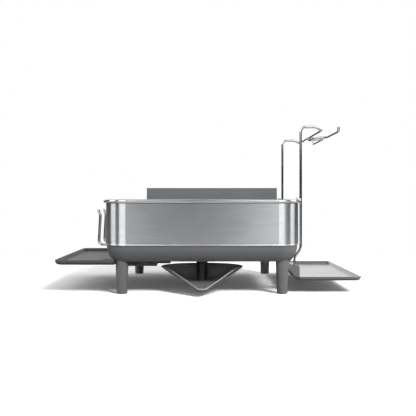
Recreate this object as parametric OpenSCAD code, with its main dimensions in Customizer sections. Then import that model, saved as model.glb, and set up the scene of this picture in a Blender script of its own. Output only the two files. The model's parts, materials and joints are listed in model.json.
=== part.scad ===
// Counter-top dish drying rack: a brushed steel band on a moulded drip base,
// with a swivel spout, a lift-out wire rack, a utensil caddy, four cup hooks
// over a slide-in drip tray and a wine glass holder over a plug-on drip tray.
// Shapes are laid out about the centre of the body, on the counter (z = 0),
// with the spout towards -Y, and then moved so that the whole object's box
// is centred on the origin.

/* [Body] */
// Outside width of the steel band
body_w = 345.6; // [320:0.1:360]
// Outside depth of the steel band
body_d = 461; // [455:0.5:475]
// Corner radius of the band in plan
corner_r = 38; // [36:0.5:42]
// Height of the top of the rolled rim above the counter
rim_top = 168.4; // [165:0.1:175]
// Height of the seam between the band and the drip base
seam_z = 87; // [85:0.5:88]
// Thickness of the steel sheet
sheet_t = 1; // [0.8:0.1:1.2]
// Diameter of the rolled rim
rim_d = 6.5; // [6:0.1:7]
// How far the rolled rim stands out of the wall
rim_out = 4.5; // [4:0.1:4.8]

/* [Drip base] */
// Height of the underside of the drip base
base_z = 58; // [57:0.5:60]
// Radius of the base's curved flank
flank_r = 40; // [38:0.5:44]
// Wall thickness of the moulded base
base_t = 3; // [2.5:0.1:3.5]
// Setback of the base's top edge from the steel
base_inset = 1.5; // [1:0.1:2]

/* [Legs] */
// Distance of a leg's axis from the middle, across the body
leg_x = 143; // [140:0.5:145]
// Distance of a leg's axis from the middle, along the body
leg_y = 205; // [203:0.5:206]
// Diameter of a leg at the base
leg_top_d = 23.2; // [22:0.1:24]
// Diameter of a leg at the counter
leg_foot_d = 18.9; // [18:0.1:20]

/* [Spout] */
// Distance of the swivel axis in front of the middle of the body
pivot_y = 144.5; // [140:0.5:148]
// Radius of the spout's bowl
bowl_r = 76; // [70:0.5:78]
// Height of the bowl's rim
bowl_z = 45.4; // [44:0.1:46]
// Reach of the lip from the swivel axis
spout_reach = 127.5; // [120:0.5:129]
// Height of the lip's upper edge
lip_z = 15.8; // [15:0.1:17]
// Diameter of the outlet pipe that the spout turns on
pipe_d = 21; // [19:0.1:22]

/* [Cup side] */
// Distance of the cup tray's far edge from the middle
cup_tray_x = 263; // [255:0.5:275]
// Distance of the cup tray's front wall in front of the middle
cup_tray_front = 217; // [210:0.5:218]
// Distance of the cup tray's rear wall behind the middle
cup_tray_rear = 159; // [150:0.5:165]
// Height of the cup tray's underside
cup_tray_z = 51.8; // [51.6:0.1:52]
// Height of the cup tray's wall above its underside
cup_wall_h = 8.8; // [7:0.1:9]
// Distance between cup hooks
hook_pitch = 88; // [84:1:90]
// Wire diameter of the cup hooks
hook_d = 3.6; // [3:0.1:3.8]

/* [Glass side] */
// Distance of the glass tray's far edge from the middle
glass_tray_x = 287; // [280:0.5:295]
// Distance of the glass tray's front wall in front of the middle
glass_tray_front = 202; // [198:0.5:206]
// Distance of the glass tray's rear wall behind the middle
glass_tray_rear = 192; // [190:0.5:206]
// Height of the glass tray's underside
glass_tray_z = 22.3; // [22.3:0.1:24]
// Height of the glass tray's wall above its underside
glass_wall_h = 7.4; // [6:0.1:8]
// Distance of the holder's uprights from the middle
upright_x = 180; // [179.9:0.1:181]
// Half distance between the two uprights
upright_y = 172.4; // [170:0.1:174]
// Wire diameter of the glass holder
holder_d = 4.8; // [4.4:0.1:5]
// Height of the holder's arms
arm_z = 300.5; // [290:0.1:310]

/* [Dish rack] */
// Diameter of the rack's outline wire
outline_d = 5; // [4:0.1:5.5]
// Diameter of the floor wires and plate tines
tine_d = 3.2; // [2.8:0.1:3.6]
// Distance between plate tines
tine_pitch = 30; // [26:1:30]
// Number of plate tines in a row
tine_count = 11; // [8:1:11]

/* [Caddy] */
// Distance of the caddy's left end from the middle
caddy_left = 123.7; // [110:0.1:130]
// Distance of the caddy's right end from the middle
caddy_right = 167.4; // [150:0.1:167.5]
// Distance of the caddy's front face behind the middle
caddy_front = 165; // [164:0.5:170]
// Depth of the caddy
caddy_d = 57; // [50:0.5:58]
// Height of the caddy's top edge above the counter
caddy_top = 194.2; // [190:0.1:200]

/* [Hidden] */

$fn = 64;
eps = 0.01;
// Where a straight stretch of wire runs into a bend it laps in this far,
// and the bend is this much thicker, so that their skins never coincide
weld_lap = 0.05;
weld_step = 0.02;
// How far wires sink into each other at a weld
weld_in = 0.3;
side_x = body_w / 2;
side_y = body_d / 2;

// The rolled rim
rim_r = rim_d / 2;
rim_cz = rim_top - rim_r;
rim_u = rim_out - rim_r;
// The band's lower edge is folded into a narrow hem
hem_r = 0.9;

// The drip base: u is measured outwards from the steel's outer face
flank_drop = seam_z - base_z;
flank_in = flank_r - sqrt(flank_r * flank_r - flank_drop * flank_drop);
base_in = base_inset + flank_in;
floor_t = base_t;
floor_low = base_z + 1;
floor_front = base_z + 3.5;
floor_rear = base_z + 8;
ledge_z = seam_z - 7;
ledge_t = 3;
ledge_u = 16;
upstand_u = 4.4;
upstand_t = 1.8;
upstand_z = seam_z + 3;
boss_r = 11;
boss_top = base_z + 14;
spigot_r = 7.9;
spigot_h = 10;
rib_t = 2;
rib_xs = [-100, -50, 50, 100];

// Tabs and screws that hold the band down on the ledge
flange_t = 1;
tab_w = 14;
tab_in = 14;
screw_u = 9;
side_tab_ys = [-88, 88];
end_tab_xs = [-90, 90];
screw_r = 1.5;
screw_head_r = 3.2;
screw_head_h = 1.8;
screw_len = 6;
pilot_gap = 0.05;
screw_gap = 0.3;
post_in = 4;
post_l = 6;
post_w = 10;
plug_gap = 0.1;

// Feet
pad_r = 8;
pad_h = 3;
leg_gap = 1.2;

// Spout and outlet
pipe_r = pipe_d / 2;
swivel_gap = 0.1;
bowl_t = 2.2;
bowl_floor_z = 17.5;
bowl_floor_r = 30;
lip_r = 9;
lip_t = 2.8;
hub_r = 16;
hub_z = 10;
pipe_bore_r = 8;
pipe_end_z = 5.5;
pipe_flange_r = 17;
pipe_flange_t = 2.4;
window_w = 9;
window_z = 22;
window_h = 10;
clip_r = 14.5;
clip_h = 2.4;

// Cup tray, its tongue and its rails
tray_t = 2;
tray_foot_r = 7;
tray_foot_in = 5.5;
cup_corner_r = 14;
cup_in_x = side_x - base_in - 2.3;
tongue_front = -185;
tongue_rear = 127;
tongue_end = 80;
tongue_h = 5.8;
lip_end = 58;
lip_y0 = -175;
lip_y1 = -115;
runner_h = 1.5;
runner_w = 11;
rail_gap = 1;
rail_t = 2.6;
rail_z = 48;
rail_floor_t = 2;
rail_end_bottom = 82;
rail_end_top = 78;
rail_ear_w = 12;
rail_ear_d = 10;
rail_ear_t = 2;
rail_screw_xs = [-120, -92];
rail_screw_out = rail_gap + rail_t + rail_ear_d / 2;
rail_screw_len = 7;
rail_boss_r = 4.5;
guard_h = 2.1;
guard_x0 = 181;
guard_x1 = 172;
notch_x = 164;
notch_y = -212;
end_chamfer = 3;

// Cup hooks
hook_z = seam_z - 3;
hook_w = 14;
hook_low_x = 193.4;
hook_high_x = 190.4;
hook_neck_z = 140;
hook_tip_x = 194.4;
hook_tip_z = 148.5;
hook_bend = 8;
hook_rail_x = side_x - 15.8;
hook_start_x = hook_rail_x + hook_d / 2 - weld_in;
hook_ys = [for (i = [-1.5:1:1.5]) i * hook_pitch];

// Glass holder
loop_x = 218;
loop_z = 295;
arm_end_x = 207;
holder_bend = 9;
foot_x = 168.7;
foot_z = 63.2;
knee_z = 78.3;
knee_bend = 20;
wire_end_z = 40.5;
rail2_x = 249;
rail2_z = 293;
rail2_end = 170;
rail2_rise = 7.7;
neck_outer_y = 26;
neck_inner_y = 22;
neck_z = loop_z - holder_d + weld_in;
rim_hook_d = 3;
rim_hook_gap = 0.35;
rim_hook_r = rim_r + rim_hook_gap + rim_hook_d / 2;
rim_hook_from = -50;
rim_hook_to = 150;

// Glass tray
glass_corner_r = 12;
glass_in_x = 168;
board_t = 3;
board_top = 43;
ear_in_x = 162.6;
ear_out_x = 177.5;
ear_top = 50;
ear_y0 = 131;
ear_y1 = 178.4;
ear_low_z = 36.5;
ear_r = 7.4;
ear_toe = 3.5;
ear_toe_h = 1.5;
ear_bore_z = 39.5;
ear_clear = 0.1;

// Dish rack
rack_front = -221;
rack_back = 158;
rack_x = side_x - 10;
rack_r = 28;
rack_z = seam_z + 9;
cross_z = rack_z - outline_d / 2 - tine_d / 2 + weld_in;
long_z = cross_z - tine_d + weld_in;
tine_y0 = (rack_front + rack_back - (tine_count - 1) * tine_pitch) / 2;
tine_r = 14;
tine_top = 158;
tine_outer_x = -122;
tine_inner_x = -58;
long_xs = [-136, -72, -16, 40, 96, 136];
rack_foot_ys = [-167, 104];
rack_foot_r = 3.4;
rack_foot_gap = 0.2;

// Caddy
caddy_bottom = 96;
caddy_t = 2.2;
caddy_r = 4;
caddy_big_r = 33;
caddy_split_xs = [-35, 70];
divider_t = 1.8;
slot_len = 8;
slot_w = 4;
slot_pitch = 14;
slot_first = -caddy_left + 14;
slot_last = caddy_right - 24;
slot_rows = [for (i = [-1:1]) caddy_front + caddy_d / 2 + i * 14];
hanger_xs = [-85, 128];
hanger_w = 26;
hanger_t = 3;
hanger_lip = 4.4;
hanger_out = side_y + rim_out + 0.6;
hanger_drop = 14;

// The middle of the whole object's box
mid_x = (glass_tray_x - cup_tray_x) / 2;
mid_y = (hanger_out + hanger_lip - pivot_y - spout_reach) / 2;

steel_colour = [0.72, 0.73, 0.74];
chrome_colour = [0.82, 0.83, 0.85];
dark_colour = [0.23, 0.24, 0.25];
grey_colour = [0.36, 0.37, 0.38];
rubber_colour = [0.08, 0.08, 0.08];

// ---------------------------------------------------------------- helpers

module at_origin() {
    translate([-mid_x, -mid_y, 0]) children();
}

function unit(v) = v / norm(v);

// A rounded rectangle centred on the origin
module round_rect(w, d, r) {
    square([w - 2 * r, d], center = true);
    square([w, d - 2 * r], center = true);
    for (x = [-1, 1], y = [-1, 1])
        translate([x * (w / 2 - r), y * (d / 2 - r)]) circle(r);
}

// Sweeps a profile round a rounded rectangle: the profile's x is measured
// outwards from the outline and its y is the height
module around(w, d, r) {
    for (side = [0, 180]) {
        rotate(side) translate([w / 2, 0, 0]) rotate([90, 0, 0])
            linear_extrude(d - 2 * r, center = true) children();
        rotate(side + 90) translate([d / 2, 0, 0]) rotate([90, 0, 0])
            linear_extrude(w - 2 * r, center = true) children();
    }
    for (x = [0, 1], y = [0, 1])
        mirror([x, 0, 0]) mirror([0, y, 0]) translate([w / 2 - r, d / 2 - r, 0])
            rotate_extrude(angle = 90) translate([r, 0]) children();
}

// A straight rod between two points
module rod(from, to, d) {
    run = to - from;
    length = norm(run);
    tilt = acos(run[2] / length);
    turn = atan2(run[1], run[0]);
    translate(from) rotate([0, tilt, turn]) cylinder(d = d, h = length);
}

// Half of the angle that a path turns through at point i
function half_turn(path, i) =
    acos(unit(path[i] - path[i - 1]) * unit(path[i + 1] - path[i])) / 2;

// How much of a leg the bend at point i takes up
function setback(path, bends, i) =
    (i == 0 || i == len(path) - 1) ? 0 : bends[i] * tan(half_turn(path, i));

// A bend of radius r at point i, between the two legs that meet there
module elbow(path, i, r, d) {
    inward = unit(path[i] - path[i - 1]);
    outward = unit(path[i + 1] - path[i]);
    turn = 2 * half_turn(path, i);
    start = path[i] - inward * r * tan(turn / 2);
    to_centre = unit(outward - inward * (inward * outward));
    centre = start + to_centre * r;
    normal = cross(-to_centre, inward);
    multmatrix([
        [-to_centre[0], inward[0], normal[0], centre[0]],
        [-to_centre[1], inward[1], normal[1], centre[1]],
        [-to_centre[2], inward[2], normal[2], centre[2]],
        [0, 0, 0, 1]
    ])
        rotate_extrude(angle = turn) translate([r, 0]) circle(d = d + weld_step);
}

// A wire bent along a path, with a bend radius for each of its points
module wire(path, bends, d) {
    for (i = [0:len(path) - 2]) {
        along = unit(path[i + 1] - path[i]);
        rod(path[i] + along * (setback(path, bends, i) - (i > 0 ? weld_lap : 0)),
            path[i + 1] - along * (setback(path, bends, i + 1) - (i < len(path) - 2 ? weld_lap : 0)), d);
    }
    for (i = [1:1:len(path) - 2]) elbow(path, i, bends[i], d);
}

function flip_y(p) = [p[0], -p[1], p[2]];

// --------------------------------------------------------------- the base

// The space inside the curved flank, drawn in a little by t
module flank_profile(t) {
    intersection() {
        translate([-base_inset - flank_r, seam_z]) circle(flank_r - t);
        translate([-base_inset - flank_r, base_z]) square([flank_r, flank_drop]);
    }
}

// Wall, shoulder, ledge and upstand of the base
module base_wall_profile() {
    difference() {
        flank_profile(0);
        flank_profile(base_t);
        translate([-corner_r, base_z - eps]) square([corner_r - base_in - base_t, flank_drop]);
    }
    translate([-base_in - base_t, base_z]) square([base_t, floor_t]);
    translate([-ledge_u, ledge_z - ledge_t]) square([ledge_u - base_inset - 2, ledge_t]);
    translate([-upstand_u - upstand_t, ledge_z - ledge_t])
        square([upstand_t, upstand_z - ledge_z + ledge_t]);
    translate([-upstand_u - eps, ledge_z - ledge_t])
        square([upstand_u - base_inset - 1, seam_z - ledge_z + ledge_t]);
}

// The floor falls to the outlet from the front and from the rear
module base_floor() {
    front = -side_y + base_in;
    rear = side_y - base_in;
    intersection() {
        translate([0, 0, base_z]) linear_extrude(flank_drop)
            round_rect(body_w - 2 * base_in, body_d - 2 * base_in, corner_r - base_in);
        rotate([90, 0, 90]) linear_extrude(body_w, center = true)
            polygon([
                [front, floor_front], [-pivot_y, floor_low], [rear, floor_rear],
                [rear, floor_rear + floor_t], [-pivot_y, floor_low + floor_t], [front, floor_front + floor_t]
            ]);
    }
}

module base_ribs() {
    for (x = rib_xs)
        translate([x, 0, 0]) rotate([90, 0, 90]) linear_extrude(rib_t, center = true)
            polygon([
                [-pivot_y + 30, floor_low + 1], [side_y - base_in - 2, base_z + 1],
                [side_y - base_in - 2, floor_rear + 1], [-pivot_y + 30, floor_low + 1.5]
            ]);
}

module at_legs() {
    for (x = [-1, 1], y = [-1, 1]) translate([x * leg_x, y * leg_y, 0]) children();
}

// A slot for each cup hook wire, open at the top
module hook_slots() {
    gap = hook_d + 0.6;
    for (y = hook_ys, s = [-1, 1])
        translate([-side_x - eps, y + s * hook_w / 2 - gap / 2, hook_z - gap / 2])
            cube([12, gap, 20]);
}

// Posts under the band's tabs, with pilot holes
module at_tabs() {
    for (s = [-1, 1]) {
        for (y = side_tab_ys) translate([s * (side_x - screw_u), y, 0]) rotate(s > 0 ? 0 : 180) children();
        for (x = end_tab_xs) translate([x, s * (side_y - screw_u), 0]) rotate(s > 0 ? 90 : -90) children();
    }
}

module drip_base() {
    color(dark_colour) at_origin() difference() {
        union() {
            around(body_w, body_d, corner_r) base_wall_profile();
            base_floor();
            base_ribs();
            at_legs() translate([0, 0, base_z]) cylinder(r = boss_r, h = boss_top - base_z);
            at_tabs() translate([-post_in, -post_w / 2, ledge_z - ledge_t])
                cube([post_l, post_w, seam_z - ledge_z + ledge_t]);
            at_rail_screws() translate([0, 0, base_z]) cylinder(r = rail_boss_r, h = rail_screw_len + 1);
        }
        at_legs() translate([0, 0, base_z - 1]) cylinder(r = spigot_r + plug_gap, h = spigot_h + 1.2);
        at_rail_screws() translate([0, 0, base_z - 1]) cylinder(r = screw_r + pilot_gap, h = rail_screw_len);
        translate([0, -pivot_y, base_z - 1]) cylinder(r = pipe_r + plug_gap, h = 10);
        hook_slots();
        at_tabs() {
            translate([-tab_in + screw_u - 0.5, -tab_w / 2 - 0.5, seam_z]) cube([tab_in, tab_w + 1, 10]);
            translate([0, 0, seam_z - screw_len]) cylinder(r = screw_r + pilot_gap, h = 10);
        }
    }
}

// A tapered leg with the spigot that plugs into the base
module leg(x, y) {
    color(dark_colour) at_origin() translate([x * leg_x, y * leg_y, 0]) difference() {
        union() {
            translate([0, 0, leg_gap]) cylinder(d1 = leg_foot_d, d2 = leg_top_d, h = base_z - leg_gap);
            translate([0, 0, base_z - 1]) cylinder(r = spigot_r, h = spigot_h + 1);
        }
        translate([0, 0, leg_gap - eps]) cylinder(r = pad_r + 0.05, h = pad_h - leg_gap + eps);
    }
}

module leg_front_left() { leg(-1, -1); }
module leg_front_right() { leg(1, -1); }
module leg_rear_left() { leg(-1, 1); }
module leg_rear_right() { leg(1, 1); }

module foot_pads() {
    color(rubber_colour) at_origin() at_legs() cylinder(r = pad_r, h = pad_h);
}

// ------------------------------------------------------ outlet and spout

// Outlet pipe with a window on each side, just above the floor of the spout
module drain_pipe() {
    top = floor_low + floor_t - 0.2;
    color(dark_colour) at_origin() translate([0, -pivot_y, 0]) difference() {
        union() {
            translate([0, 0, pipe_end_z]) cylinder(r = pipe_r, h = top - pipe_end_z);
            translate([0, 0, floor_low - pipe_flange_t]) cylinder(r = pipe_flange_r, h = pipe_flange_t);
        }
        translate([0, 0, window_z]) cylinder(r = pipe_bore_r, h = top);
        translate([-pipe_d, -window_w / 2, window_z]) cube([2 * pipe_d, window_w, window_h]);
    }
}

// Snap ring under the spout's hub
module spout_clip() {
    color(rubber_colour) at_origin() translate([0, -pivot_y, hub_z - 0.3 - clip_h]) difference() {
        cylinder(r = clip_r, h = clip_h);
        translate([0, 0, -1]) cylinder(r = pipe_r + 0.02, h = clip_h + 2);
        translate([0, -2, -1]) cube([clip_r + 1, 4, clip_h + 2]);
    }
}

// The spout: a bowl drawn out into a pouring lip, on a hub for the outlet pipe
module spout_form(inset, lift, up) {
    hull() {
        translate([0, 0, bowl_z - 1]) cylinder(r = bowl_r - inset, h = 1 + up);
        translate([0, 0, bowl_floor_z + lift]) cylinder(r = bowl_floor_r - inset, h = 1);
        translate([0, lip_r - spout_reach - 3 * inset, lip_z - lip_t + lift])
            cylinder(r = lip_r - inset, h = lip_t - lift + up);
    }
}

module spout_bowl() {
    color(grey_colour) at_origin() translate([0, -pivot_y, 0]) difference() {
        union() {
            difference() {
                spout_form(0, 0, 0);
                spout_form(bowl_t, bowl_t, 30);
            }
            translate([0, 0, hub_z]) cylinder(r = hub_r, h = bowl_floor_z + bowl_t - hub_z);
        }
        translate([0, 0, hub_z - 1]) cylinder(r = pipe_r + swivel_gap, h = bowl_z - hub_z);
    }
}

// --------------------------------------------------------- the steel band

module band_profile() {
    difference() {
        union() {
            translate([-sheet_t, seam_z]) square([sheet_t, rim_cz - seam_z]);
            translate([-sheet_t / 2 + hem_r / 2, seam_z + hem_r]) circle(hem_r);
            translate([rim_u, rim_cz]) circle(rim_r);
        }
        translate([rim_u, rim_cz]) circle(rim_r - sheet_t);
        translate([eps, rim_cz - rim_r - eps]) square([1.2, rim_r]);
    }
    translate([-upstand_u + 0.4, seam_z]) square([upstand_u - 0.4, flange_t]);
}

module steel_frame() {
    color(steel_colour) at_origin() difference() {
        union() {
            around(body_w, body_d, corner_r) band_profile();
            at_tabs() translate([-tab_in + screw_u, -tab_w / 2, seam_z])
                cube([tab_in - 3, tab_w, flange_t]);
        }
        at_tabs() translate([0, 0, seam_z - 1]) cylinder(r = screw_r + screw_gap, h = 4);
    }
}

// A pan-head screw, head up
module screw(length) {
    cylinder(r = screw_head_r, h = screw_head_h);
    translate([0, 0, -length]) cylinder(r = screw_r, h = length + eps);
}

module band_screws() {
    color(steel_colour) at_origin() at_tabs()
        translate([0, 0, seam_z + flange_t]) screw(screw_len - 1);
}

// --------------------------------------------------------------- cup side

// L-shaped rail that carries one edge of the cup tray's tongue, with ears
// that are screwed up into the base
module tray_rail(edge) {
    start = cup_in_x - 4;
    color(dark_colour) at_origin() translate([0, edge, 0]) mirror([0, edge < 0 ? 1 : 0, 0]) difference() {
        union() {
            translate([0, rail_gap + rail_t, 0]) rotate([90, 0, 0]) linear_extrude(rail_t)
                polygon([
                    [-start, rail_z], [-rail_end_bottom, rail_z], [-rail_end_top, base_z], [-start, base_z]
                ]);
            translate([-start, rail_gap - runner_w, rail_z])
                cube([start - rail_end_bottom, runner_w + eps, rail_floor_t]);
            for (x = rail_screw_xs)
                translate([x - rail_ear_w / 2, rail_gap + rail_t - eps, base_z - rail_ear_t])
                    cube([rail_ear_w, rail_ear_d, rail_ear_t]);
        }
        for (x = rail_screw_xs)
            translate([x, rail_screw_out, base_z - 5]) cylinder(r = screw_r + screw_gap, h = 10);
    }
}

module tray_rail_front() { tray_rail(tongue_front); }
module tray_rail_rear() { tray_rail(tongue_rear); }

module at_rail_screws() {
    for (x = rail_screw_xs, y = [tongue_front - rail_screw_out, tongue_rear + rail_screw_out])
        translate([x, y, 0]) children();
}

module rail_screws() {
    color(rubber_colour) at_origin() at_rail_screws()
        translate([0, 0, base_z - rail_ear_t]) mirror([0, 0, 1]) screw(rail_screw_len);
}

// The wall of a tray, h high: round on the outside of its foot and
// leaning out a little inside
module wall_profile(h) {
    r = tray_foot_r;
    difference() {
        union() {
            intersection() {
                translate([-r, r]) circle(r);
                translate([-r, 0]) square(r);
            }
            translate([-r, r]) square([r, h - r]);
        }
        polygon([
            [-r - 1, tray_t], [-tray_foot_in, tray_t], [-tray_t, h], [-tray_t, h + 1], [-r - 1, h + 1]
        ]);
    }
}

// A tray from front left to rear right corner, with its underside at z = 0
module pan(x0, y0, x1, y1, h, r) {
    w = x1 - x0;
    d = y1 - y0;
    translate([(x0 + x1) / 2, (y0 + y1) / 2, 0]) {
        around(w, d, r) wall_profile(h);
        linear_extrude(tray_t)
            round_rect(w - 2 * tray_foot_r, d - 2 * tray_foot_r, r - tray_foot_r);
    }
}

// The cup tray's pan: it is cut off straight under the base, its rear wall is
// notched to pass there, and its wall stands a little higher beside the body
module cup_pan() {
    x1 = -cup_in_x + cup_corner_r;
    d = cup_tray_front + cup_tray_rear;
    difference() {
        union() {
            pan(-cup_tray_x, -cup_tray_front, x1, cup_tray_rear, cup_wall_h, cup_corner_r);
            for (y = [-cup_tray_front + tray_t, cup_tray_rear])
                translate([0, y, cup_wall_h]) rotate([90, 0, 0]) linear_extrude(tray_t)
                    polygon([
                        [-guard_x0, -1], [-guard_x1 + eps, -1],
                        [-guard_x1 + eps, guard_h], [-guard_x0, 0]
                    ]);
            for (y = [-cup_tray_front, cup_tray_rear - tray_t])
                translate([-guard_x1, y, cup_wall_h - 1]) cube([guard_x1 - cup_in_x, tray_t, guard_h + 1]);
        }
        translate([-cup_in_x, -cup_tray_front - 1, -1]) cube([2 * cup_corner_r, d + 2, 3 * cup_wall_h]);
        translate([-notch_x, notch_y, tongue_h]) cube([notch_x, d, 2 * cup_wall_h]);
    }
    end_wall(-cup_tray_front, tongue_front, 1);
    end_wall(cup_tray_rear, tongue_rear, -1);
}

// Closes the pan's cut-off end between its wall and the tongue
module end_wall(edge, tongue, s) {
    translate([-cup_in_x - tray_t, 0, 0]) rotate([90, 0, 90]) linear_extrude(tray_t)
        polygon([
            [edge + s * end_chamfer, tongue_h], [edge + s * end_chamfer, end_chamfer],
            [edge + s * tray_foot_r, 0],
            [tongue + s, 0], [tongue + s, tongue_h]
        ]);
}

// The tongue under the base, with a runner along each edge
module cup_tongue() {
    start = -cup_in_x - tray_t;
    reach = -tongue_end - start;
    w = tongue_rear - tongue_front;
    translate([start, tongue_front, 0]) cube([reach, w, tray_t]);
    for (y = [tongue_front, tongue_rear - tray_t]) translate([start, y, 0]) cube([reach, tray_t, tongue_h]);
    for (y = [tongue_front + 0.5, tongue_rear + 0.5 - runner_w])
        translate([-cup_in_x + 3, y, -runner_h])
            cube([cup_in_x - 3 - rail_end_bottom - 2, runner_w - 1, runner_h]);
    difference() {
        translate([-tongue_end - tray_t, tongue_front, 0]) cube([tray_t, w, tongue_h]);
        translate([-tongue_end - tray_t - 1, lip_y0 + tray_t, tray_t])
            cube([tray_t + 2, lip_y1 - lip_y0 - 2 * tray_t, tongue_h]);
    }
}

// The lip that pours into the spout's bowl
module cup_lip() {
    reach = tongue_end - lip_end;
    translate([-tongue_end - eps, lip_y0, 0]) cube([reach, lip_y1 - lip_y0, tray_t]);
    for (y = [lip_y0, lip_y1 - tray_t]) translate([-tongue_end - eps, y, 0]) cube([reach, tray_t, tongue_h]);
}

module cup_tray() {
    color(dark_colour) at_origin() translate([0, 0, cup_tray_z]) {
        cup_pan();
        cup_tongue();
        cup_lip();
    }
}

// A hairpin of wire: out through the seam, up, and over at the tip
module cup_hook(i) {
    y0 = hook_ys[i] - hook_w / 2;
    y1 = hook_ys[i] + hook_w / 2;
    path = [
        [-hook_start_x, y0, hook_z], [-hook_low_x, y0, hook_z], [-hook_high_x, y0, hook_neck_z],
        [-hook_tip_x, y0, hook_tip_z], [-hook_tip_x, y1, hook_tip_z],
        [-hook_high_x, y1, hook_neck_z], [-hook_low_x, y1, hook_z], [-hook_start_x, y1, hook_z]
    ];
    color(chrome_colour) at_origin()
        wire(path, [0, hook_bend, 6, 4, 4, 6, hook_bend, 0], hook_d);
}

module cup_hook_1() { cup_hook(0); }
module cup_hook_2() { cup_hook(1); }
module cup_hook_3() { cup_hook(2); }
module cup_hook_4() { cup_hook(3); }

// The rod inside the base that the hooks are welded to
module cup_hook_rail() {
    reach = hook_ys[3] + 11;
    color(chrome_colour) at_origin()
        rod([-hook_rail_x, -reach, hook_z], [-hook_rail_x, reach, hook_z], hook_d);
}

// -------------------------------------------------------------- glass side

module holder_loop() {
    front = [
        [foot_x, -upright_y, wire_end_z], [foot_x, -upright_y, foot_z], [upright_x, -upright_y, knee_z],
        [upright_x, -upright_y, arm_z], [arm_end_x, -upright_y, arm_z], [loop_x, -upright_y, loop_z]
    ];
    path = concat(front, [for (i = [5:-1:0]) flip_y(front[i])]);
    color(chrome_colour) at_origin()
        wire(path, [
            0, knee_bend, knee_bend, holder_bend, holder_bend, holder_bend,
            holder_bend, holder_bend, holder_bend, knee_bend, knee_bend, 0
        ], holder_d);
}

module glass_rail() {
    half = [
        [rail2_x, -rail2_end - 3, rail2_z + rail2_rise], [rail2_x, -rail2_end, rail2_z],
        [rail2_x, -neck_outer_y, rail2_z], [loop_x + 1, -neck_inner_y, neck_z]
    ];
    path = concat(half, [for (i = [3:-1:0]) flip_y(half[i])]);
    color(chrome_colour) at_origin()
        wire(path, [0, 5, 10, 8, 8, 10, 5, 0], holder_d);
}

// A hook that wraps the rolled rim
module rim_hook(s) {
    y = s * (upright_y + holder_d / 2 + rim_hook_d / 2 - weld_in);
    color(chrome_colour) at_origin() translate([side_x + rim_u, y, rim_cz])
        rotate([90, 0, 0]) rotate(rim_hook_from)
            rotate_extrude(angle = rim_hook_to - rim_hook_from)
                translate([rim_hook_r, 0]) circle(d = rim_hook_d);
}

module rim_hook_front() { rim_hook(-1); }
module rim_hook_rear() { rim_hook(1); }

// An ear that sockets one end of the holder's wire
module tray_ear(s) {
    toe_z = glass_tray_z + ear_toe_h;
    translate([0, s * (ear_y0 + ear_y1) / 2, 0]) rotate([90, 0, 0])
        linear_extrude(ear_y1 - ear_y0, center = true) {
            translate([ear_out_x - ear_r, ear_top - ear_r]) circle(ear_r);
            polygon([
                [ear_in_x, ear_low_z], [ear_in_x, ear_top], [ear_out_x - ear_r, ear_top],
                [ear_out_x - ear_r, ear_top - ear_r], [ear_out_x, ear_top - ear_r],
                [ear_out_x, toe_z], [ear_out_x - ear_toe, toe_z]
            ]);
        }
}

// The board along the tray's back, which leans out from its foot to the ears
module back_board() {
    low_z = glass_tray_z + tray_foot_r - 1;
    x = ear_in_x + 1;
    rotate([90, 0, 0]) linear_extrude(2 * ear_y1, center = true)
        polygon([
            [glass_in_x, low_z], [x, ear_low_z], [x, board_top], [x + board_t, board_top],
            [x + board_t, ear_low_z + 1], [glass_in_x + tray_t, low_z + 1]
        ]);
}

module glass_tray() {
    color(grey_colour) at_origin() difference() {
        union() {
            translate([0, 0, glass_tray_z])
                pan(
                    glass_in_x, -glass_tray_front, glass_tray_x, glass_tray_rear,
                    glass_wall_h, glass_corner_r
                );
            back_board();
            for (s = [-1, 1]) tray_ear(s);
        }
        for (s = [-1, 1])
            translate([foot_x, s * upright_y, ear_bore_z]) cylinder(d = holder_d + 2 * ear_clear, h = 30);
    }
}

// --------------------------------------------------------------- dish rack

module rack_outline() {
    w = 2 * rack_x;
    d = rack_back - rack_front;
    color(chrome_colour) at_origin() translate([0, (rack_front + rack_back) / 2, 0])
        around(w, d, rack_r) translate([0, rack_z]) circle(d = outline_d);
}

// Half length of a cross wire that ends on the outline's middle line
function cross_half(y) =
    let (
        past = abs(y - (rack_front + rack_back) / 2) - (rack_back - rack_front) / 2 + rack_r,
        bend = max(past, 0)
    )
    rack_x - rack_r + sqrt(rack_r * rack_r - bend * bend);

module rack_cross_wires() {
    color(chrome_colour) at_origin() for (i = [-1:tine_count]) {
        y = tine_y0 + i * tine_pitch;
        half = cross_half(y);
        rod([-half, y, cross_z], [half, y, cross_z], tine_d);
    }
}

module rack_long_wires() {
    color(chrome_colour) at_origin() for (x = long_xs)
        rod(
            [x, tine_y0 - tine_pitch - 3, long_z],
            [x, tine_y0 + tine_count * tine_pitch + 3, long_z], tine_d
        );
}

// A row of upright hairpins that plates stand between
module tine_row(x) {
    foot = cross_z + tine_d / 2 - weld_in;
    color(chrome_colour) at_origin() for (i = [0:tine_count - 1]) {
        y = tine_y0 + i * tine_pitch;
        for (s = [-1, 1]) rod([x + s * tine_r, y, foot], [x + s * tine_r, y, tine_top - tine_r], tine_d);
        translate([x, y, tine_top - tine_r]) rotate([90, 0, 0]) rotate_extrude(angle = 180)
            translate([tine_r, 0]) circle(d = tine_d);
    }
}

module plate_tines_outer() { tine_row(tine_outer_x); }
module plate_tines_inner() { tine_row(tine_inner_x); }

// Rubber feet that clip on the outline wire and stand on the base's ledge
module rack_feet() {
    color(rubber_colour) at_origin() for (x = [-1, 1], y = rack_foot_ys) difference() {
        translate([x * rack_x, y, ledge_z + rack_foot_gap])
            cylinder(r = rack_foot_r, h = rack_z + 1 - ledge_z - rack_foot_gap);
        translate([x * rack_x, y - 10, rack_z]) rotate([-90, 0, 0]) cylinder(d = outline_d, h = 20);
    }
}

// ------------------------------------------------------------------- caddy

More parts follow.
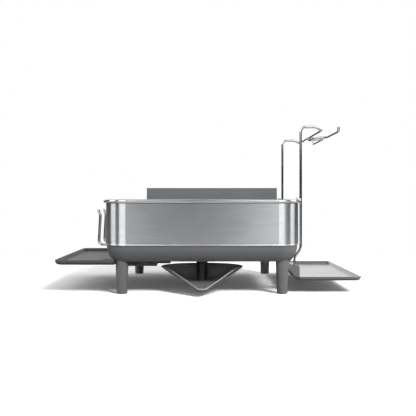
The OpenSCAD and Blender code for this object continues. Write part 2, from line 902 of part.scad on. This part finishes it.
// The caddy in plan, drawn in by t: its rear right corner follows the band's
module caddy_plan(t) {
    x0 = -caddy_left + t;
    x1 = caddy_right - t;
    y0 = caddy_front + t;
    y1 = caddy_front + caddy_d - t;
    r = caddy_r - t;
    big = caddy_big_r - t;
    difference() {
        translate([(x0 + x1) / 2, (y0 + y1) / 2]) round_rect(x1 - x0, y1 - y0, r);
        translate([x1 - big, y1 - big]) square(big + 1);
    }
    intersection() {
        translate([x1 - big, y1 - big]) circle(big);
        translate([x1 - big - eps, y1 - big - eps]) square(big + 1);
    }
}

module caddy_box() {
    h = caddy_top - caddy_bottom;
    color(grey_colour) at_origin() {
        difference() {
            translate([0, 0, caddy_bottom]) linear_extrude(h) caddy_plan(0);
            translate([0, 0, caddy_bottom + caddy_t]) linear_extrude(h) caddy_plan(caddy_t);
            for (x = [slot_first:slot_pitch:slot_last], y = slot_rows)
                translate([x - slot_len / 2, y - slot_w / 2, caddy_bottom - 1])
                    cube([slot_len, slot_w, caddy_t + 2]);
        }
        // hangers over the rear rim
        for (hx = hanger_xs) {
            translate([hx - hanger_w / 2, caddy_front + caddy_d - caddy_t, rim_top + 0.4])
                cube([hanger_w, hanger_out + hanger_lip - caddy_front - caddy_d + caddy_t, hanger_t]);
            translate([hx - hanger_w / 2, hanger_out, rim_top + 0.4 + hanger_t - hanger_drop])
                cube([hanger_w, hanger_lip, hanger_drop]);
        }
    }
}

module caddy_divider(i) {
    inside = caddy_d - 2 * caddy_t - 0.4;
    color(grey_colour) at_origin()
        translate([caddy_split_xs[i] - divider_t / 2, caddy_front + caddy_t + 0.2, caddy_bottom + caddy_t])
            cube([divider_t, inside, caddy_top - caddy_bottom - caddy_t - 8]);
}

module caddy_divider_left() { caddy_divider(0); }
module caddy_divider_right() { caddy_divider(1); }

drip_base();
leg_front_left();
leg_front_right();
leg_rear_left();
leg_rear_right();
foot_pads();
drain_pipe();
spout_clip();
spout_bowl();
steel_frame();
band_screws();
tray_rail_front();
tray_rail_rear();
rail_screws();
cup_tray();
cup_hook_1();
cup_hook_2();
cup_hook_3();
cup_hook_4();
cup_hook_rail();
rack_outline();
rack_cross_wires();
rack_long_wires();
plate_tines_outer();
plate_tines_inner();
rack_feet();
holder_loop();
glass_rail();
rim_hook_front();
rim_hook_rear();
glass_tray();
caddy_box();
caddy_divider_left();
caddy_divider_right();
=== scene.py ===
import json
import math

import bmesh
import bpy
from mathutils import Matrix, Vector

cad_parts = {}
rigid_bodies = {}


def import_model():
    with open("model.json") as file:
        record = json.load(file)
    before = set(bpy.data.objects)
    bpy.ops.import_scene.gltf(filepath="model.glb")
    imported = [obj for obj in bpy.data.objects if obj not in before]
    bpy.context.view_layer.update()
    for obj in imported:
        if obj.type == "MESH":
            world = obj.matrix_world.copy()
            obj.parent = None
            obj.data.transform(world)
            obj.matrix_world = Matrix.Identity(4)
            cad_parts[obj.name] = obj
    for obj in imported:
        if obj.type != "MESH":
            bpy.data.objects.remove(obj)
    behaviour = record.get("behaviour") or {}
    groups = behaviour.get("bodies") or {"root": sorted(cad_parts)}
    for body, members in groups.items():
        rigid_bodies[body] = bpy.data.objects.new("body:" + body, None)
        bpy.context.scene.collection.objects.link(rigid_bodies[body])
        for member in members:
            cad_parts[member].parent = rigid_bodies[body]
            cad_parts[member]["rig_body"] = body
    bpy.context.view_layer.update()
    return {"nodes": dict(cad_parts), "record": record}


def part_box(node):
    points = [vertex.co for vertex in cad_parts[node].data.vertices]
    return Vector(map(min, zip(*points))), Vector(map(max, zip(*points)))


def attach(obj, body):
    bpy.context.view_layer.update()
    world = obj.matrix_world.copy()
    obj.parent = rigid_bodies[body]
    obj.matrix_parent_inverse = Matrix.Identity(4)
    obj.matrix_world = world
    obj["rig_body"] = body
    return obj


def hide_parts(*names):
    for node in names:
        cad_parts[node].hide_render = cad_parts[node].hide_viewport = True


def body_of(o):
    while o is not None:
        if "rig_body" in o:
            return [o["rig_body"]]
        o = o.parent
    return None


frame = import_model()
nodes = frame["nodes"]
print("frame loaded:", len(nodes), "parts")

# The studio: a soft key lamp, a low strip at each side, and a pale floor
studio = {
    "cameraPlace": (-0.012, -1.6685, 0.1663),
    "sensorWidth": 36.0,
    "lens": 71.68,
    "shift": (0.0142, -0.018),
    "viewEnd": 100.0,
    "floorSize": 40.0,
    "floorSeen": 1.60,          # what the camera sees, so that the lit floor is white
    "floorColour": 0.10,        # what bounces light back up
    "floorNear": 0.75,          # what the metal sees of it, close to the object
    "floorFar": 0.10,           # and farther out
    "nearReach": (0.45, 0.9),   # how far from the middle near turns into far
    "whiteReach": (0.55, 1.1),  # and how far out the floor turns plain white
    "panelRise": (0.04, 0.20),  # how high over the horizon the metal's panels begin
    "ceilingRise": (0.5, 0.85),
    "ceilingTone": 0.5,
    "backdropRise": (0.15, 0.60),   # how high the backdrop ends
    "skyHigh": 0.50,            # plain light from above
    "keyPlace": (1.15, -2.16, 1.75),
    "keyAim": (0, 0, 0.05),
    "keySize": (0.9, 0.9),
    "keyPower": 85.0,
    "sidePlace": (1.35, -0.25, 0.11),   # mirrored for the left side
    "sideSize": (0.8, 0.18),
    "sidePower": 5.0,
    "cardPlace": (0, -1.1, 0.15),       # fills the inside of the spout
    "cardTilt": 84,
    "cardSize": (0.9, 0.2),
    "cardPower": 4.0,
}

# Where the metal sees light and dark round it, by direction: 0 and 1 are behind
# the camera's back, 0.5 is straight beyond the object, and the turn is to the right
ringStops = [
    (0.000, 0.08), (0.007, 0.35), (0.013, 2.20), (0.022, 3.20), (0.040, 4.40), (0.085, 4.40), (0.101, 3.60),
    (0.120, 1.60), (0.143, 0.55), (0.168, 0.16), (0.205, 0.16), (0.221, 4.50), (0.292, 4.20), (0.307, 0.08),
    (0.360, 0.12), (0.400, 1.20), (0.500, 1.40), (0.600, 1.20), (0.632, 0.04), (0.724, 0.02), (0.740, 4.00),
    (0.815, 3.80), (0.828, 0.16), (0.875, 0.10), (0.898, 4.30), (0.965, 4.10), (0.977, 2.20), (0.985, 0.82),
    (0.993, 0.28),
]

# The horizon that the metal sees: dark, but for the white straight beyond the object
horizonStops = [(0.0, 0.06), (0.44, 0.06), (0.46, 1.05), (0.54, 1.05), (0.56, 0.06), (1.0, 0.06)]

# What plain surfaces see near the horizon: a white backdrop beyond, low panels in front
backdropStops = [
    (0.0, 0.30), (0.12, 0.30), (0.20, 0.20), (0.32, 0.60), (0.50, 1.00), (0.68, 0.60), (0.80, 0.20),
    (0.88, 0.30), (1.0, 0.30),
]


def addNode(tree, kind, x, y, **settings):
    node = tree.nodes.new(kind)
    node.location = (x, y)
    for key, value in settings.items():
        setattr(node, key, value)
    return node


def feed(tree, socket, source):
    # a socket takes a link or a plain value
    if isinstance(source, bpy.types.NodeSocket):
        tree.links.new(source, socket)
    else:
        socket.default_value = source


def addMath(tree, operation, sources, x, y, **settings):
    node = addNode(tree, "ShaderNodeMath", x, y, operation=operation, **settings)
    for socket, source in zip(node.inputs, sources):
        feed(tree, socket, source)
    return node.outputs[0]


def addMix(tree, kind, factor, first, second, x, y):
    node = addNode(tree, "ShaderNodeMix", x, y, data_type=kind)
    for label, source in (("Factor", factor), ("A", first), ("B", second)):
        feed(tree, node.inputs[label], source)
    return node.outputs["Result"]


def addRange(tree, source, span, x, y, low=0.0, high=1.0, course="SMOOTHSTEP"):
    # moves a value inside the span to the range low to high
    node = addNode(tree, "ShaderNodeMapRange", x, y, interpolation_type=course)
    node.inputs["From Min"].default_value, node.inputs["From Max"].default_value = span
    node.inputs["To Min"].default_value = low
    node.inputs["To Max"].default_value = high
    tree.links.new(source, node.inputs["Value"])
    return node.outputs[0]


def addRamp(tree, source, stops, x, y):
    node = addNode(tree, "ShaderNodeValToRGB", x, y)
    elements = node.color_ramp.elements
    while len(elements) < len(stops):
        elements.new(1.0)
    for element, (place, value) in zip(elements, stops):
        element.position = place
        element.color = (value, value, value, 1)
    tree.links.new(source, node.inputs[0])
    return node.outputs["Color"]


def addBackground(tree, colour, x, y):
    node = addNode(tree, "ShaderNodeBackground", x, y)
    feed(tree, node.inputs["Color"], colour)
    return node.outputs[0]


def mixShaders(tree, factor, first, second, x, y):
    node = addNode(tree, "ShaderNodeMixShader", x, y)
    for socket, source in zip(node.inputs, (factor, first, second)):
        tree.links.new(source, socket)
    return node.outputs[0]


def newMaterial(name):
    material = bpy.data.materials.new(name)
    material.use_nodes = True
    material.node_tree.nodes.clear()
    return material, material.node_tree


def makeCamera():
    data = bpy.data.cameras.new("camera")
    data.sensor_width = studio["sensorWidth"]
    data.lens = studio["lens"]
    data.shift_x, data.shift_y = studio["shift"]
    data.clip_end = studio["viewEnd"]
    camera = bpy.data.objects.new("camera", data)
    camera.location = studio["cameraPlace"]
    camera.rotation_euler = (math.radians(90), 0, 0)
    bpy.context.scene.collection.objects.link(camera)
    bpy.context.scene.camera = camera


def makeWorld():
    world = bpy.data.worlds.new("studio")
    bpy.context.scene.world = world
    world.use_nodes = True
    tree = world.node_tree
    tree.nodes.clear()
    direction = addNode(tree, "ShaderNodeTexCoord", -1400, 0)
    parts = addNode(tree, "ShaderNodeSeparateXYZ", -1200, 0)
    tree.links.new(direction.outputs["Generated"], parts.inputs[0])
    height = parts.outputs["Z"]
    away = addMath(tree, "MULTIPLY", (parts.outputs["Y"], -1.0), -1000, 100)
    turn = addMath(tree, "ARCTAN2", (parts.outputs["X"], away), -800, 0)
    share = addMath(tree, "MULTIPLY", (turn, 1 / (2 * math.pi)), -600, 0)
    wrap = addMath(tree, "FRACT", (share,), -450, 0)
    # for metal, the panels hang over a dark horizon and under an even ceiling
    horizon = addRamp(tree, wrap, horizonStops, -300, -1000)
    ring = addRamp(tree, wrap, ringStops, -300, 0)
    overHorizon = addRange(tree, height, studio["panelRise"], -300, -150)
    panels = addMix(tree, "RGBA", overHorizon, horizon, ring, -150, 0)
    overPanels = addRange(tree, height, studio["ceilingRise"], -300, -300)
    ceiling = (studio["ceilingTone"],) * 3 + (1,)
    metalSky = addMix(tree, "RGBA", overPanels, panels, ceiling, 0, 0)
    # plain surfaces have the backdrop, with an even sky above it
    backdrop = addRamp(tree, wrap, backdropStops, -300, -800)
    overBackdrop = addRange(tree, height, studio["backdropRise"], -300, -600)
    high = (studio["skyHigh"],) * 3 + (1,)
    plainSky = addMix(tree, "RGBA", overBackdrop, backdrop, high, 0, -600)
    # and the camera sees white
    rays = addNode(tree, "ShaderNodeLightPath", -300, 400)
    unseen = mixShaders(tree, rays.outputs["Is Glossy Ray"], addBackground(tree, plainSky, 250, 200),
                        addBackground(tree, metalSky, 250, 0), 500, 100)
    white = addBackground(tree, (1, 1, 1, 1), 250, 400)
    out = addNode(tree, "ShaderNodeOutputWorld", 900, 200)
    tree.links.new(mixShaders(tree, rays.outputs["Is Camera Ray"], unseen, white, 700, 200), out.inputs[0])


def paintFloor():
    material, tree = newMaterial("paleFloor")
    link = tree.links.new
    place = addNode(tree, "ShaderNodeTexCoord", -800, 300)
    reach = addNode(tree, "ShaderNodeVectorMath", -600, 300, operation="LENGTH")
    link(place.outputs["Object"], reach.inputs[0])
    distance = reach.outputs["Value"]
    rays = addNode(tree, "ShaderNodeLightPath", -600, 600)
    byCamera = rays.outputs["Is Camera Ray"]
    pool = addRange(tree, distance, studio["nearReach"], -400, 0, studio["floorNear"], studio["floorFar"])
    unseen = addMix(tree, "FLOAT", rays.outputs["Is Glossy Ray"], studio["floorColour"], pool, -300, 0)
    paint = addNode(tree, "ShaderNodeBsdfDiffuse", 0, 0)
    link(addMix(tree, "FLOAT", byCamera, unseen, studio["floorSeen"], -200, 0), paint.inputs["Color"])
    # far from the object the floor runs out into the plain white behind it
    far = addRange(tree, distance, studio["whiteReach"], -400, 300)
    seen = addMath(tree, "MULTIPLY", (far, byCamera), -200, 400)
    white = addNode(tree, "ShaderNodeEmission", 0, 200)
    out = addNode(tree, "ShaderNodeOutputMaterial", 450, 100)
    link(mixShaders(tree, seen, paint.outputs[0], white.outputs[0], 250, 100), out.inputs[0])
    return material


def makeFloor():
    bm = bmesh.new()
    bmesh.ops.create_grid(bm, x_segments=1, y_segments=1, size=studio["floorSize"] / 2)
    mesh = bpy.data.meshes.new("floor")
    bm.to_mesh(mesh)
    bm.free()
    mesh.materials.append(paintFloor())
    floor = bpy.data.objects.new("floor", mesh)
    bpy.context.scene.collection.objects.link(floor)


def makeLamp(name, place, turn, size, power):
    data = bpy.data.lights.new(name, "AREA")
    data.shape = "RECTANGLE"
    data.size, data.size_y = size
    data.energy = power
    lamp = bpy.data.objects.new(name, data)
    lamp.location = place
    lamp.rotation_euler = turn
    lamp.visible_glossy = False    # the metal sees the ring instead
    bpy.context.scene.collection.objects.link(lamp)
    return lamp


def makeLamps():
    aim = Vector(studio["keyAim"]) - Vector(studio["keyPlace"])
    turn = aim.to_track_quat("-Z", "Y").to_euler()
    makeLamp("keySoftbox", studio["keyPlace"], turn, studio["keySize"], studio["keyPower"])
    x, y, z = studio["sidePlace"]
    for side in (-1, 1):
        turn = (math.radians(90), 0, math.radians(90) * side)
        makeLamp("sideStrip", (side * x, y, z), turn, studio["sideSize"], studio["sidePower"])


makeCamera()
makeWorld()
makeFloor()
makeLamps()
bpy.context.scene.view_settings.view_transform = "Standard"
print("studio ready")

# What the finishes share
pattern = {
    "noiseSpan": (0.3, 0.7),    # most of a noise pattern lies inside this
    "cloudShare": 0.5,          # of the clouds in the wear of brushed metal
    "pitShare": 0.4,            # of the pits in the wear of moulded plastic
    "reliefHeight": 0.0001,
}


def newGroup(name, inputs, outputs):
    group = bpy.data.node_groups.new(name, "ShaderNodeTree")
    for label, value in inputs.items():
        socket = group.interface.new_socket(label, in_out="INPUT", socket_type="NodeSocketFloat")
        socket.default_value = value
    for label in outputs:
        group.interface.new_socket(label, in_out="OUTPUT", socket_type="NodeSocketFloat")
    start = addNode(group, "NodeGroupInput", -1200, 0)
    end = addNode(group, "NodeGroupOutput", 900, 0)
    return group, start, end


def addNoise(tree, place, y, **values):
    node = addNode(tree, "ShaderNodeTexNoise", -600, y)
    tree.links.new(place, node.inputs["Vector"])
    for label, value in values.items():
        feed(tree, node.inputs[label], value)
    return node.outputs["Fac"]


# Fine directional scratches, long one way and thin the other
def makeGrain():
    group, start, end = newGroup(
        "brushedGrain", {"Along": 14.0, "Across": 900.0, "Cloud": 9.0}, ["Streak", "Cloud"])
    link = group.links.new
    place = addNode(group, "ShaderNodeTexCoord", -1200, 300).outputs["Object"]
    scale = addNode(group, "ShaderNodeCombineXYZ", -1000, 0)
    for axis, label in (("X", "Along"), ("Y", "Along"), ("Z", "Across")):
        link(start.outputs[label], scale.inputs[axis])
    stretched = addNode(group, "ShaderNodeVectorMath", -800, 100, operation="MULTIPLY")
    link(place, stretched.inputs[0])
    link(scale.outputs[0], stretched.inputs[1])
    streak = addNoise(group, stretched.outputs[0], 100, Scale=1.0, Detail=3.0, Roughness=0.65)
    cloud = addNoise(group, place, -200, Scale=start.outputs["Cloud"], Detail=2.0)
    link(streak, end.inputs["Streak"])
    link(cloud, end.inputs["Cloud"])
    return group


# The fine pitting that a textured mould leaves, with slow changes in sheen
def makeMould():
    group, start, end = newGroup(
        "mouldedSkin", {"Pit": 1400.0, "Flow": 7.0}, ["Pits", "Flow"])
    link = group.links.new
    place = addNode(group, "ShaderNodeTexCoord", -1200, 300).outputs["Object"]
    pits = addNoise(group, place, 100, Scale=start.outputs["Pit"], Detail=4.0, Roughness=0.7)
    flow = addNoise(group, place, -200, Scale=start.outputs["Flow"], Detail=3.0, Distortion=0.6)
    link(pits, end.inputs["Pits"])
    link(flow, end.inputs["Flow"])
    return group


# 1 inside a level band of the object, 0 outside it
def makeBand():
    group, start, end = newGroup("levelBand", {"Low": 0.0, "High": 1.0, "Soft": 0.0004}, ["Mask"])
    place = addNode(group, "ShaderNodeTexCoord", -1200, 300)
    parts = addNode(group, "ShaderNodeSeparateXYZ", -1000, 300)
    group.links.new(place.outputs["Object"], parts.inputs[0])
    height = parts.outputs["Z"]
    sides = []
    for upper, lower, y in ((height, start.outputs["Low"], 100), (start.outputs["High"], height, -200)):
        inside = addMath(group, "SUBTRACT", (upper, lower), -700, y)
        sides.append(addMath(group, "DIVIDE", (inside, start.outputs["Soft"]), -500, y, use_clamp=True))
    group.links.new(addMath(group, "MULTIPLY", sides, -200, 0), end.inputs["Mask"])
    return group


grainGroup = makeGrain()
mouldGroup = makeMould()
bandGroup = makeBand()


def useGroup(tree, group, x, y, **values):
    node = addNode(tree, "ShaderNodeGroup", x, y, node_tree=group)
    for label, value in values.items():
        node.inputs[label].default_value = value
    return node


def spread(tree, source, low, high, x, y):
    return addRange(tree, source, pattern["noiseSpan"], x, y, low, high, "LINEAR")


def tint(tree, source, look):
    strength = spread(tree, source, 0, 1, -600, 200)
    return addMix(tree, "RGBA", strength, (*look["dark"], 1), (*look["light"], 1), -300, 300)


def finishSurface(tree, shader, colour, wear, relief, look):
    link = tree.links.new
    link(colour, shader.inputs["Base Color"])
    link(spread(tree, wear, *look["rough"], -250, -100), shader.inputs["Roughness"])
    bump = addNode(tree, "ShaderNodeBump", -250, -300)
    bump.inputs["Strength"].default_value = look["bump"]
    bump.inputs["Distance"].default_value = pattern["reliefHeight"]
    link(relief, bump.inputs["Height"])
    link(bump.outputs[0], shader.inputs["Normal"])
    out = addNode(tree, "ShaderNodeOutputMaterial", 500, 0)
    link(shader.outputs[0], out.inputs[0])


def makeBrushed(name, look):
    material, tree = newMaterial(name)
    grain = useGroup(
        tree, grainGroup, -900, 0, Along=look["along"], Across=look["across"], Cloud=look["cloud"])
    metal = addNode(tree, "ShaderNodeBsdfPrincipled", 200, 0)
    metal.inputs["Metallic"].default_value = 1.0
    metal.inputs["Anisotropic"].default_value = look["stretch"]
    metal.inputs["Anisotropic Rotation"].default_value = 0.25
    tangent = addNode(tree, "ShaderNodeTangent", -100, -500, direction_type="RADIAL", axis="Z")
    tree.links.new(tangent.outputs[0], metal.inputs["Tangent"])
    streak, cloud = grain.outputs["Streak"], grain.outputs["Cloud"]
    colour = tint(tree, streak, look)
    # painted highlight and painted shade, laid into the metal's colour in level bands
    for low, high, shade in look.get("paintedLightBands", ()):
        band = useGroup(tree, bandGroup, -600, 500, Low=low, High=high)
        colour = addMix(tree, "RGBA", band.outputs["Mask"], colour, (*shade, 1), -100, 400)
    wear = addMix(tree, "FLOAT", pattern["cloudShare"], streak, cloud, -450, -100)
    finishSurface(tree, metal, colour, wear, streak, look)
    return material


def makeMoulded(name, look):
    material, tree = newMaterial(name)
    skin = useGroup(tree, mouldGroup, -900, 0, Pit=look["pit"], Flow=look["flow"])
    plastic = addNode(tree, "ShaderNodeBsdfPrincipled", 200, 0)
    plastic.inputs["Specular IOR Level"].default_value = look["sheen"]
    pits, flow = skin.outputs["Pits"], skin.outputs["Flow"]
    wear = addMix(tree, "FLOAT", pattern["pitShare"], flow, pits, -450, -100)
    finishSurface(tree, plastic, tint(tree, flow, look), wear, pits, look)
    return material


finishes = {
    "brushed_steel": makeBrushed("satinSteel", {
        "along": 14.0, "across": 900.0, "cloud": 9.0, "stretch": 1.0,
        "dark": (0.53, 0.545, 0.555), "light": (0.64, 0.655, 0.665), "rough": (0.23, 0.27), "bump": 0.05,
        # a painted highlight along the lower edge, standing in for light on the rounded hem, and a painted
        # shade line under the rolled rim
        "paintedLightBands": [(0.0868, 0.0893, (0.93, 0.935, 0.94)), (0.1608, 0.1626, (0.36, 0.37, 0.375))],
    }),
    "chrome_wire": makeBrushed("polishedWire", {
        "along": 90.0, "across": 90.0, "cloud": 40.0, "stretch": 0.0,
        "dark": (0.50, 0.51, 0.52), "light": (0.62, 0.63, 0.64), "rough": (0.06, 0.12), "bump": 0.03,
    }),
    "screw_steel": makeBrushed("screwSteel", {
        "along": 300.0, "across": 300.0, "cloud": 60.0, "stretch": 0.0,
        "dark": (0.45, 0.46, 0.47), "light": (0.58, 0.59, 0.60), "rough": (0.25, 0.4), "bump": 0.1,
    }),
    "black_screw": makeBrushed("blackenedScrew", {
        "along": 300.0, "across": 300.0, "cloud": 60.0, "stretch": 0.0,
        "dark": (0.045, 0.046, 0.048), "light": (0.075, 0.076, 0.078), "rough": (0.35, 0.5), "bump": 0.1,
    }),
    "dark_plastic": makeMoulded("charcoalPlastic", {
        "pit": 1400.0, "flow": 7.0, "sheen": 0.45,
        "dark": (0.128, 0.131, 0.135), "light": (0.142, 0.145, 0.149), "rough": (0.42, 0.52), "bump": 0.12,
    }),
    "grey_plastic": makeMoulded("greyPlastic", {
        "pit": 1400.0, "flow": 6.0, "sheen": 0.5,
        "dark": (0.150, 0.153, 0.157), "light": (0.165, 0.168, 0.172), "rough": (0.14, 0.22), "bump": 0.03,
    }),
    # the grey plastic painted lighter for the spout: painted light that stands in for more light on its lit
    # floor
    "spout_plastic_painted_light": makeMoulded("spoutPlasticPaintedLight", {
        "pit": 1400.0, "flow": 6.0, "sheen": 0.6,
        "dark": (0.215, 0.219, 0.224), "light": (0.235, 0.239, 0.244), "rough": (0.24, 0.32), "bump": 0.03,
    }),
    "black_plastic": makeMoulded("blackPlastic", {
        "pit": 1400.0, "flow": 7.0, "sheen": 0.4,
        "dark": (0.030, 0.031, 0.033), "light": (0.040, 0.041, 0.043), "rough": (0.38, 0.48), "bump": 0.1,
    }),
    "tray_plastic": makeMoulded("trayPlastic", {
        "pit": 1400.0, "flow": 6.0, "sheen": 0.45,
        "dark": (0.070, 0.072, 0.075), "light": (0.082, 0.084, 0.087), "rough": (0.50, 0.60), "bump": 0.12,
    }),
    "rubber": makeMoulded("softRubber", {
        "pit": 900.0, "flow": 12.0, "sheen": 0.25,
        "dark": (0.020, 0.020, 0.021), "light": (0.032, 0.032, 0.033), "rough": (0.6, 0.75), "bump": 0.3,
    }),
}
print("finishes ready")


def dress(name, finish):
    data = nodes[name].data
    data.materials.clear()
    data.materials.append(finishes[finish])


for part in frame["record"]["subparts"]:
    dress(part["node"], part["material_slot"])
dress("drain_pipe", "black_plastic")
dress("spout_clip", "black_plastic")
dress("cup_tray", "tray_plastic")
print("parts dressed")

# The swivel spout, with its smooth bowl drawn out into the lip
spout = {
    "around": 128,
    "crowding": 1.6,           # how much the points crowd towards the lip
    "wall": 0.0022,
    "rimInset": 0.0013,        # the rim's inner edge, inside the reach of the outside
    "lipRadius": 0.0080,
    "lipFloorRadius": 0.0060,
    "lipTop": 0.0158,
    "lipFloor": 0.0152,
    "floorRadius": 0.027,
    "floorTop": 0.0197,
    "boreRadius": 0.0107,
    "steps": (0.0, 0.10, 0.25, 0.45, 0.65, 0.82, 0.93, 1.0),
    "belly": 1.45,             # how much the wall steepens towards the rim
    "rimAngle": 60,            # edges sharper than this are rounded
    "rimRound": 0.0006,
    "rimSteps": 2,
    "hubRadius": 0.016,
    "hubAround": 64,
    "hubGap": 0.0004,          # from the top of the hub to the top of the floor
    "creaseAngle": 42,
}


def dropReach(turn, big, small, away):
    # how far a round bowl with a drawn-out lip reaches at a turn from the lip,
    # and how far along the straight side that is
    touch = math.acos((big - small) / away)
    if turn >= touch:
        return big, 0.0
    side = math.sqrt(away ** 2 - (big - small) ** 2)
    tip = math.atan2(small * math.sin(touch), away + small * math.cos(touch))
    if turn >= tip:
        return big / math.cos(touch - turn), big * math.tan(touch - turn) / side
    return away * math.cos(turn) + math.sqrt(small ** 2 - (away * math.sin(turn)) ** 2), 1.0


def between(low, high, share):
    return low + (high - low) * share


def turned(turn, reach, level):
    # the point at a turn from the lip
    return reach * math.sin(turn), -reach * math.cos(turn), level


def growRing(bm, loop):
    # one more ring of faces round an open edge
    edges = [bm.edges.get((loop[i - 1], loop[i])) for i in range(len(loop))]
    grown = bmesh.ops.extrude_edge_only(bm, edges=edges)["geom"]
    old, fresh = set(loop), {}
    for v in (g for g in grown if isinstance(g, bmesh.types.BMVert)):
        for edge in v.link_edges:
            if edge.other_vert(v) in old:
                fresh[edge.other_vert(v)] = v
    return [fresh[v] for v in loop]


def addBowl(bm, radius, rimTop, away):
    # an open shell, ring by ring from the bore to the rim, then its wall and its rounded rim
    loop = bmesh.ops.create_circle(bm, segments=spout["around"], radius=spout["boreRadius"])["verts"]
    loop = sorted(loop, key=lambda v: math.atan2(v.co.x, -v.co.y) % (2 * math.pi))
    turns = []
    half = spout["around"] // 2
    for i, v in enumerate(loop):
        share = i / half if i <= half else i / half - 2
        turns.append(math.copysign(math.pi * abs(share) ** spout["crowding"], share))
        v.co = turned(turns[i], spout["boreRadius"], spout["floorTop"])
    for step in spout["steps"]:
        loop = growRing(bm, loop)
        for turn, v in zip(turns, loop):
            floorReach, floorAlong = dropReach(abs(turn), spout["floorRadius"], spout["lipFloorRadius"], away)
            rimReach, rimAlong = dropReach(abs(turn), radius - spout["rimInset"], spout["lipRadius"], away)
            floorZ = between(spout["floorTop"], spout["lipFloor"], floorAlong)
            rimZ = between(rimTop, spout["lipTop"], rimAlong)
            level = between(floorZ, rimZ, step ** spout["belly"])
            v.co = turned(turn, between(floorReach, rimReach, step), level)
    bmesh.ops.recalc_face_normals(bm, faces=bm.faces)
    if sum(f.normal.z for f in bm.faces) < 0:
        bmesh.ops.reverse_faces(bm, faces=bm.faces)
    bmesh.ops.solidify(bm, geom=bm.faces[:], thickness=spout["wall"])
    sharp = math.radians(spout["rimAngle"])
    rim = [e for e in bm.edges if e.is_manifold and e.calc_face_angle(0) > sharp]
    bmesh.ops.bevel(bm, geom=rim, offset=spout["rimRound"], offset_type="OFFSET", affect="EDGES",
                    segments=spout["rimSteps"], profile=0.5, material=-1, clamp_overlap=True)


def addHub(bm, bottom):
    # the hub under the floor, round the outlet pipe
    for radius in (spout["boreRadius"], spout["hubRadius"]):
        circle = bmesh.ops.create_circle(bm, segments=spout["hubAround"], radius=radius)["verts"]
        bmesh.ops.translate(bm, verts=circle, vec=(0, 0, bottom))
    rings = [e for e in bm.edges if e.is_wire]
    base = bmesh.ops.bridge_loops(bm, edges=rings)["faces"]
    raised = bmesh.ops.extrude_face_region(bm, geom=base)["geom"]
    top = [g for g in raised if isinstance(g, bmesh.types.BMVert)]
    rise = spout["floorTop"] - spout["hubGap"] - bottom
    bmesh.ops.translate(bm, verts=top, vec=(0, 0, rise))
    around = {w for v in top for e in v.link_edges for w in e.verts}
    hub = [f for f in bm.faces if not around.isdisjoint(f.verts)]
    bmesh.ops.recalc_face_normals(bm, faces=hub)


def makeSpout():
    low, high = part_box("spout_bowl")
    middle, radius = (low[0] + high[0]) / 2, (high[0] - low[0]) / 2
    axisY = high[1] - radius
    bm = bmesh.new()
    addBowl(bm, radius, high[2], axisY - low[1] - spout["lipRadius"] - spout["rimInset"])
    addHub(bm, low[2])
    bmesh.ops.translate(bm, verts=bm.verts, vec=(middle, axisY, 0))
    mesh = bpy.data.meshes.new("swivelSpout")
    bm.to_mesh(mesh)
    bm.free()
    mesh.shade_smooth()
    mesh.set_sharp_from_angle(angle=math.radians(spout["creaseAngle"]))
    # the spout takes the grey plastic painted lighter, as painted light
    mesh.materials.append(finishes["spout_plastic_painted_light"])
    piece = bpy.data.objects.new("swivelSpout", mesh)
    bpy.context.scene.collection.objects.link(piece)
    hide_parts("spout_bowl")
    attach(piece, body_of(nodes["spout_bowl"])[0])
    print("spout ready:", len(mesh.polygons), "faces")
    return piece


# A small card in front of the spout lifts the inside of its bowl, and nothing else
def makeCard(piece):
    turn = (math.radians(studio["cardTilt"]), 0, 0)
    lamp = makeLamp("spoutCard", studio["cardPlace"], turn, studio["cardSize"], studio["cardPower"])
    lit = bpy.data.collections.new("spoutOnly")
    lit.objects.link(piece)
    lamp.light_linking.receiver_collection = lit


makeCard(makeSpout())
